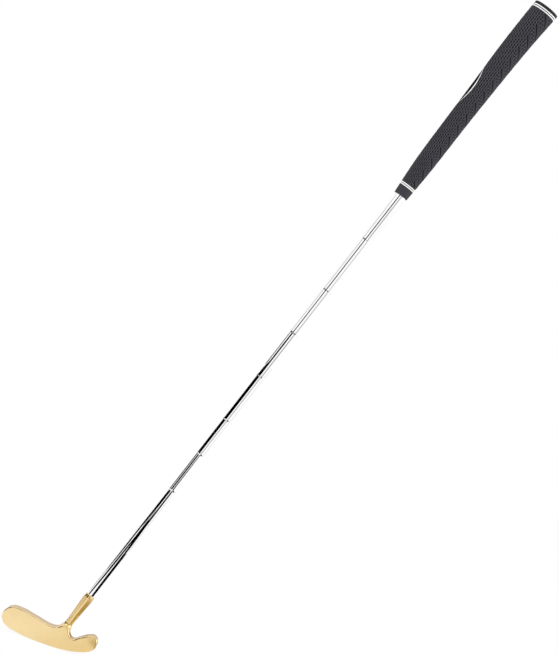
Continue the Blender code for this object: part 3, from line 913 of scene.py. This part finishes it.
# %% A table of sections
STATIONS = np.linspace(0, GRIP_LENGTH, 525)
half_table = np.array([half_section(station) for station in STATIONS])
other_half = half_table[:, :, HALF_COLUMNS - 1 : 0 : -1] * np.array((1, -1, 1))[:, None]
whole_table = np.concatenate((half_table, other_half), axis=2)
section_across, section_depth, from_chevron_line = np.moveaxis(whole_table, 1, 0)
run_across = np.roll(section_across, -1, 1) - np.roll(section_across, 1, 1)
run_depth = np.roll(section_depth, -1, 1) - np.roll(section_depth, 1, 1)
run_length = np.hypot(run_across, run_depth)
out_across, out_depth = run_depth / run_length, -run_across / run_length


def read_sections(table, distance, column):
    """A section table's values at distances from the mouth, for whole columns."""
    place = np.clip(distance / (STATIONS[1] - STATIONS[0]), 0, len(STATIONS) - 1.001)
    row = place.astype(int)
    share = place - row
    return (1 - share) * table[row, column] + share * table[row + 1, column]


def grip_point(distance, column, inset=0.0, sink=0.0):
    """Points on the grip's skin, drawn in by an inset square to the skin, or sunk
    straight towards the shaft from the toe side."""
    across = read_sections(section_across, distance, column)
    depth = read_sections(section_depth, distance, column)
    across = across - inset * read_sections(out_across, distance, column) + sink
    depth = depth - inset * read_sections(out_depth, distance, column)
    return along_shaft(across, depth, GRIP_MOUTH + distance)


around = np.arange(COLUMNS)
print("grip is", round(2 * float(grip_sizes(GRIP_LENGTH)[2]), 1), "mm deep at the cap")

# %% [markdown]
# The rubber is moulded with chevrons that point to the cap on each side of the grip.
# Their toe legs are pairs of dimple rows with smooth bands between, and their heel
# legs are a fine groove with one dotted band. The mesh is drawn in the same way. Its
# rows run as chevrons too, with several close together at each groove and dimple row,
# so the edges come out clean from few faces. Rows that run past the end of the moulded
# area are gathered on its border, and the points that fall together there are merged.

# %% The moulded chevrons
TEXTURE_START, TEXTURE_END = 15.7, 254.3
CHEVRON_PITCH = 15.56
FIRST_CHEVRON = 5.5
HEEL_SLOPE, TOE_SLOPE = 1.12, 0.77
GROOVE_DEPTH = 0.50
DIMPLE_ROWS = (0.0, 3.0, 7.5, 10.5)
HEEL_DIMPLE_ROWS = (7.5, 10.5)
DIMPLE_HALF_WIDTH, DIMPLE_FLOOR = 1.05, 0.55
DIMPLE_DEPTH, NUB_HEIGHT = 0.50, 0.16
DIMPLE_COLUMNS = 8
PLAIN_ROWS = [4.7, 5.6, 12.4, 13.4]
PAST_BORDER, KEPT_PAST, BORDER_FADE = 30, 26, 0.5
PANEL_MIDDLE, PANEL_HALF_LENGTH, PANEL_HALF_WIDTH = 143.4, 24.6, 9.95
PANEL_SQUARENESS = 2.4
PANEL_SEAT_DEPTH = 2.3


def towards_heel(column):
    """True for columns between the chevron line and the heel."""
    return np.minimum(column, COLUMNS - column) < HEEL_COLUMNS


def chevron_lag(distance, column):
    """How far a chevron has fallen back towards the mouth at a column."""
    slope = np.where(towards_heel(column), HEEL_SLOPE, TOE_SLOPE)
    return slope * read_sections(from_chevron_line, distance, column)


def chevron_rows():
    """Where each row of the mesh crosses the chevron line."""
    edges = (-DIMPLE_HALF_WIDTH, -DIMPLE_FLOOR, DIMPLE_FLOOR, DIMPLE_HALF_WIDTH)
    within = PLAIN_ROWS + [row + edge for row in DIMPLE_ROWS for edge in edges]
    first = math.floor((TEXTURE_START - FIRST_CHEVRON) / CHEVRON_PITCH) - 1
    last = math.ceil((TEXTURE_END + PAST_BORDER - FIRST_CHEVRON) / CHEVRON_PITCH)
    chevrons = FIRST_CHEVRON + np.arange(first, last + 1) * CHEVRON_PITCH
    rows = np.sort(np.add.outer(chevrons, within).ravel())
    return rows[(rows > TEXTURE_START - 1) & (rows < TEXTURE_END + KEPT_PAST)]


def moulding(distance, column):
    """Depth of the moulded texture at a place on the grip's skin."""
    phase = distance + chevron_lag(distance, column) - FIRST_CHEVRON
    phase = (phase + 2) % CHEVRON_PITCH - 2
    on_heel = towards_heel(column)
    half = np.minimum(column, COLUMNS - column)
    count = np.abs(half - HEEL_COLUMNS)
    beat = np.clip(2 * np.cos(2 * math.pi * count / DIMPLE_COLUMNS) + 0.5, -1, 1)
    beat = beat * np.where(beat > 0, DIMPLE_DEPTH, NUB_HEIGHT)
    texture = 0
    for row in DIMPLE_ROWS:
        wall = DIMPLE_HALF_WIDTH - DIMPLE_FLOOR
        ring = np.clip((DIMPLE_HALF_WIDTH - np.abs(phase - row)) / wall, 0, 1)
        on_heel_leg = GROOVE_DEPTH if row == 0 else beat * (row in HEEL_DIMPLE_ROWS)
        texture = texture + ring * np.where(on_heel, on_heel_leg, beat)
    fade = np.clip((distance - TEXTURE_START) / BORDER_FADE, 0, 1)
    return texture * fade * np.clip((TEXTURE_END - distance) / BORDER_FADE, 0, 1)


def inside_panel(distance, depth, across):
    """How far inside the panel's oval a place is, in millimetres, and below zero outside."""
    length = np.abs((distance - PANEL_MIDDLE) / PANEL_HALF_LENGTH) ** PANEL_SQUARENESS
    width = np.abs(depth / PANEL_HALF_WIDTH) ** PANEL_SQUARENESS
    reach = (length + width) ** (1 / PANEL_SQUARENESS)
    return np.where(across < 0, (1 - reach) * PANEL_HALF_WIDTH, -PANEL_HALF_WIDTH)


# %% The textured skin
rows = chevron_rows()
skin, column_grid = np.broadcast_arrays(rows[:, None], around)
for _ in range(3):
    skin = rows[:, None] - chevron_lag(skin, column_grid)
skin = np.clip(skin, TEXTURE_START, TEXTURE_END)
oval = inside_panel(
    skin,
    read_sections(section_depth, skin, column_grid),
    read_sections(section_across, skin, column_grid),
)
texture = moulding(skin, column_grid) * np.clip(-oval / BORDER_FADE, 0, 1)
seat = PANEL_SEAT_DEPTH * np.clip((oval - 0.25) / BORDER_FADE, 0, 1)
textured_skin = grip_point(skin, column_grid, texture, seat)
print(len(rows), "rows of", COLUMNS, "points")

# %% [markdown]
# The sleeve's other rows are plain rings: the rolled lip at the mouth, the smooth
# stretch, the two shallow grooves that hold the white rings, and the bore inside with
# its wider stretch for the tape. All rows together make one closed skin.

# %% The grip sleeve
SLEEVE_LENGTH = 259.4
TIGHT_BORE, TAPE_BORE = 7.3, 7.9
TAPE_START, TAPE_END = 19.7, 251.7
RING_GROOVES = ((10.9, 14.6), (254.7, 258.7))
RING_GROOVE_DEPTH = 0.7
LIP, LIP_INSET, GUARD = 0.03, 0.04, 0.25


def skin_ring(distance, inset=0.0):
    return grip_point(np.full(COLUMNS, float(distance)), around, inset)


section_angle = np.arctan2(section_depth[0], section_across[0])


def round_ring(radius, distance):
    """A circle inside the grip whose points face the skin's columns."""
    across, depth = radius * np.cos(section_angle), radius * np.sin(section_angle)
    return along_shaft(across, depth, GRIP_MOUTH + distance)


def groove_rings(start, end):
    """The four (distance, inset) rings of a groove, from one lip to the other."""
    floor = [(start, RING_GROOVE_DEPTH), (end, RING_GROOVE_DEPTH)]
    return [(start - LIP, LIP_INSET), *floor, (end + LIP, LIP_INSET)]


(low_start, low_end), (high_start, high_end) = RING_GROOVES
below = [(0, 0.45), (0.05, 0.22), (0.25, 0.05), (0.5, 0)]
below += [(distance, 0) for distance in np.linspace(1.5, low_start - GUARD, 8)]
below += [*groove_rings(low_start, low_end), (low_end + GUARD, 0)]
above = [(high_start - GUARD, 0), *groove_rings(high_start, high_end), (high_end + 0.2, 0)]
above += [(SLEEVE_LENGTH - 0.1, 0), (SLEEVE_LENGTH, 0.12)]
inside = [(TIGHT_BORE, SLEEVE_LENGTH), (TIGHT_BORE, TAPE_END), (TAPE_BORE, TAPE_END)]
inside += [(TAPE_BORE, TAPE_START), (TIGHT_BORE, TAPE_START)]
inside += [(TIGHT_BORE, 0.3), (TIGHT_BORE + 0.2, 0)]
sleeve_rings = [skin_ring(*ring) for ring in below] + list(textured_skin)
sleeve_rings += [skin_ring(*ring) for ring in above] + [round_ring(*ring) for ring in inside]
print(len(sleeve_rings), "rings in the sleeve")

# %% [markdown]
# The rubber is near black. A number on each point of the skin says how deep the
# moulding is there. Dimples and grooves are painted darker than the skin, a painted
# shade of their walls, and the nubs between the dimples are painted paler, a painted highlight.


# %% Rubber
def moulded_rubber():
    rubber = Finish("grip_rubber", Metallic=0.0, IOR=1.5, Specular_IOR_Level=0.15)
    hollow = rubber.node("ShaderNodeAttribute", {"attribute_name": "moulding"}, output="Fac")
    fine = rubber.noise(2400, 2)
    broad = rubber.noise(55, 3)
    # Painted shade: the deeper the moulding, the nearer black the colour goes.
    deep = rubber.ramp(hollow * 3.0, (0.0, 0.0), (1.0, 1.0))
    # Painted highlight: the raised nubs between the dimples are made paler.
    raised = rubber.ramp(hollow * -6.0, (0.0, 0.0), (1.0, 1.0))
    worn = rubber.ramp(broad, (0.4, 0.0), (0.7, 1.0))
    plain = rubber.blend(worn, (0.041, 0.040, 0.049), (0.049, 0.048, 0.057))
    plain_with_nub_highlight = rubber.blend(raised, plain, (0.120, 0.117, 0.134))
    colour = rubber.blend(deep, plain_with_nub_highlight, (0.001, 0.001, 0.0015))
    roughness = 0.56 + broad * 0.14 + fine * 0.08
    return rubber.surface(colour, roughness, rubber.bump(fine, 0.25, 0.00006))


def merge_touching(piece):
    """Merges points that fall together, where rows are gathered on the border."""
    shape = bmesh.new()
    shape.from_mesh(piece.data)
    bmesh.ops.remove_doubles(shape, verts=shape.verts, dist=1e-6)
    bmesh.ops.dissolve_degenerate(shape, edges=shape.edges, dist=1e-6)
    shape.to_mesh(piece.data)
    shape.free()


depth_of = np.zeros((len(sleeve_rings), COLUMNS))
depth_of[len(below) : len(below) + len(rows)] = texture
for first, rings in ((0, below), (len(below) + len(rows), above)):
    for number, (_, inset) in enumerate(rings, first):
        if inset == RING_GROOVE_DEPTH:
            depth_of[number] = inset
sleeve = add_looped("grip_sleeve_skin", sleeve_rings, moulded_rubber())
mark = sleeve.data.attributes.new("moulding", "FLOAT", "POINT")
mark.data.foreach_set("value", depth_of.ravel())
merge_touching(sleeve)
dress(sleeve, ["grip_sleeve"])

# %% [markdown]
# Each white ring is a strip of filler set in its groove. It follows the grip's section
# and stands a tenth of a millimetre proud, with its two edges rolled over.

# %% The white rings
RING_PLACES = (("mouth", 11.15, 2.0), ("cap", 255.0, 2.2))
RING_PROUD = 0.1


def white_fill(name):
    white = Finish(name, Metallic=0.0, IOR=1.5)
    patchy = white.noise(420, 3)
    grime = white.ramp(white.noise(90, 4), (0.45, 0.0), (0.75, 1.0))
    colour = white.blend(grime, (0.99, 0.99, 0.985), (0.93, 0.93, 0.92))
    roughness = 0.38 + patchy * 0.16
    return white.surface(colour, roughness, white.bump(patchy, 0.12, 0.00003))


ring_white = white_fill("ring_white")
RING_SECTION = (
    (0.0, 0.40), (0.0, 0.02), (0.06, -0.05), (0.20, -RING_PROUD), (0.62, -0.12),
    (1.04, -RING_PROUD), (1.18, -0.05), (1.24, 0.02), (1.24, 0.40),
)
for place, start, spacing in RING_PLACES:
    for level, offset in (("lower", 0), ("upper", spacing)):
        loops = [skin_ring(start + offset + along, inset) for along, inset in RING_SECTION]
        ring = add_looped(f"{place}_ring_{level}_strip", loops, ring_white)
        dress(ring, [f"{place}_ring_{level}"])

# %% [markdown]
# The cap closes the grip. Its edge is rolled over and its end is flat, with a shallow
# turned dish round the vent hole, which lets air out when the grip is pushed on.

# %% The end cap
CAP_START = 259.7
SKIRT_RADIUS, SKIRT_LENGTH = 7.0, 2.0
CAP_EDGE, CAP_LAND = 0.6, 2.6
VENT_RADIUS = 1.0
CAP_DISH = (
    (9.4, 0.0), (9.1, 0.1), (8.9, 0.3), (3.0, 0.3), (2.0, 0.35), (1.3, 0.4), (1.1, 0.5),
    (VENT_RADIUS, 0.7),
)


def cap_rubber():
    rubber = Finish("cap_rubber", Metallic=0.0, IOR=1.5, Specular_IOR_Level=0.3)
    fine = rubber.noise(1900, 2)
    broad = rubber.noise(120, 3)
    colour = rubber.blend(broad, (0.010, 0.010, 0.012), (0.022, 0.022, 0.025))
    roughness = 0.36 + broad * 0.14
    return rubber.surface(colour, roughness, rubber.bump(fine, 0.12, 0.00004))


skirt_end = CAP_START - SKIRT_LENGTH
loops = [round_ring(SKIRT_RADIUS, skirt_end), round_ring(SKIRT_RADIUS, CAP_START)]
loops += [skin_ring(CAP_START, 0.15), skin_ring(CAP_START + 0.12)]
for step in np.linspace(0, math.pi / 2, 9):
    height = GRIP_LENGTH - CAP_EDGE * (1 - math.sin(step))
    loops.append(skin_ring(height, CAP_EDGE * (1 - math.cos(step))))
loops.append(skin_ring(GRIP_LENGTH, CAP_LAND))
loops += [round_ring(radius, GRIP_LENGTH - sunk) for radius, sunk in CAP_DISH]
loops.append(round_ring(VENT_RADIUS, skirt_end))
cap = add_looped("grip_end_cap", loops, cap_rubber())
dress(cap, ["grip_cap"])

# %% [markdown]
# The thumb panel is an oval pad let into the flat toe side: a glossy black face inside
# a raised white rim. Both follow the grip's own curve, and the pad swells very slightly
# towards its middle. They are drawn in rings that shrink from the rim to the middle.

# %% The thumb panel
OVAL_SIDES = 144
RIM_WIDTH = 0.84
PANEL_BACK = 1.5


def toe_side(depth, distance):
    """Distance across to the grip's toe side at a depth and a distance from the mouth."""
    toe, _, side, squareness = np.moveaxis(grip_sizes(distance), -1, 0)
    share = np.clip(np.abs(depth) / side, 0, 0.999)
    return -toe * (1 - share**squareness) ** (1 / squareness)


def oval_loop(inset, sink):
    """A loop of the panel's oval, shrunk by an inset and sunk below the skin."""
    angle = np.linspace(0, 2 * math.pi, OVAL_SIDES, endpoint=False)
    along, off = (
        np.sign(turn) * np.abs(turn) ** (2 / PANEL_SQUARENESS)
        for turn in (np.cos(angle), np.sin(angle))
    )
    distance = PANEL_MIDDLE + (PANEL_HALF_LENGTH - inset) * along
    depth = (PANEL_HALF_WIDTH - inset) * off
    return along_shaft(toe_side(depth, distance) + sink, depth, GRIP_MOUTH + distance)


RIM_SECTION = (
    (0.0, PANEL_BACK), (0.0, 0.05), (0.06, -0.03), (0.20, -0.08), (0.42, -0.10),
    (0.64, -0.06), (0.78, 0.02), (RIM_WIDTH, 0.12), (RIM_WIDTH, PANEL_BACK),
)
loops = [oval_loop(inset, sink) for inset, sink in RIM_SECTION]
panel_rim = add_looped("thumb_panel_rim_band", loops, white_fill("rim_white"))
dress(panel_rim, ["thumb_panel_rim"])


def panel_gloss():
    gloss = Finish("panel_gloss", Metallic=0.0, IOR=1.5, Coat_Roughness=0.04)
    swirl = gloss.noise(70, 3)
    hairs = gloss.noise(1, 4, 0.6, gloss.place((3000, 3000, 60), SHAFT_LEAN))
    colour = gloss.blend(swirl, (0.010, 0.010, 0.012), (0.018, 0.018, 0.021))
    roughness = 0.10 + swirl * 0.06 + hairs * 0.05
    gloss.feed("Coat Weight", 0.6 + swirl * 0.3)
    return gloss.surface(colour, roughness, gloss.bump(swirl, 0.05, 0.00005))


PAD_START = RIM_WIDTH + 0.08
PAD_SWELL = 0.22
PAD_EDGE = ((0, PANEL_BACK), (0, 0.24), (0.08, 0.12), (0.3, 0.06))
pad_rings = [(PAD_START + inset, sink) for inset, sink in PAD_EDGE]
half = PANEL_HALF_WIDTH - 0.01
pad_rings += [
    (inset, 0.04 - PAD_SWELL * (1 - ((half - inset) / half) ** 2))
    for inset in np.linspace(PAD_START + 0.8, half, 12)
]
loops = [oval_loop(inset, sink) for inset, sink in pad_rings]
faces = band_faces(0, len(loops), OVAL_SIDES)
faces.append(range(OVAL_SIDES)[::-1])
top = range((len(loops) - 1) * OVAL_SIDES, len(loops) * OVAL_SIDES)
faces += [
    (top[i], top[i + 1], top[-i - 2], top[-i - 1]) for i in range(OVAL_SIDES // 2 - 1)
]
pad = add_mesh("thumb_panel_pad", np.concatenate(loops), faces, panel_gloss())
dress(pad, ["thumb_panel"])

# %% [markdown]
# Two pieces stay as the model has them, because they are out of sight: the set resin
# at the bottom of the hosel and the paper tape under the grip. They still get their
# own finish, for whoever takes the putter apart.


# %% Resin and tape
def set_resin():
    resin = Finish("bond_resin", Metallic=0.0, IOR=1.52)
    bubbles = resin.node("ShaderNodeTexVoronoi", sockets={"Vector": resin.place(), "Scale": 900})
    cloud = resin.noise(300, 3)
    colour = resin.blend(cloud, (0.50, 0.39, 0.20), (0.60, 0.50, 0.33))
    roughness = 0.25 + cloud * 0.2
    return resin.surface(colour, roughness, resin.bump(bubbles, 0.3, 0.0002))


def creped_paper():
    paper = Finish("tape_paper", Metallic=0.0)
    crepe = paper.node(
        "ShaderNodeTexWave",
        {"bands_direction": "Z"},
        {"Vector": paper.place(turn=SHAFT_LEAN), "Scale": 260, "Distortion": 3.0},
    )
    fibre = paper.noise(1500, 3)
    colour = paper.blend(fibre, (0.74, 0.70, 0.60), (0.84, 0.81, 0.72))
    roughness = 0.78 + fibre * 0.12
    return paper.surface(colour, roughness, paper.bump(crepe + fibre * 0.5, 0.4, 0.0002))


for node, finish in (("shaft_bond", set_resin()), ("grip_tape", creped_paper())):
    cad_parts[node].material_slots[0].material = finish
print("resin and tape have their finishes")
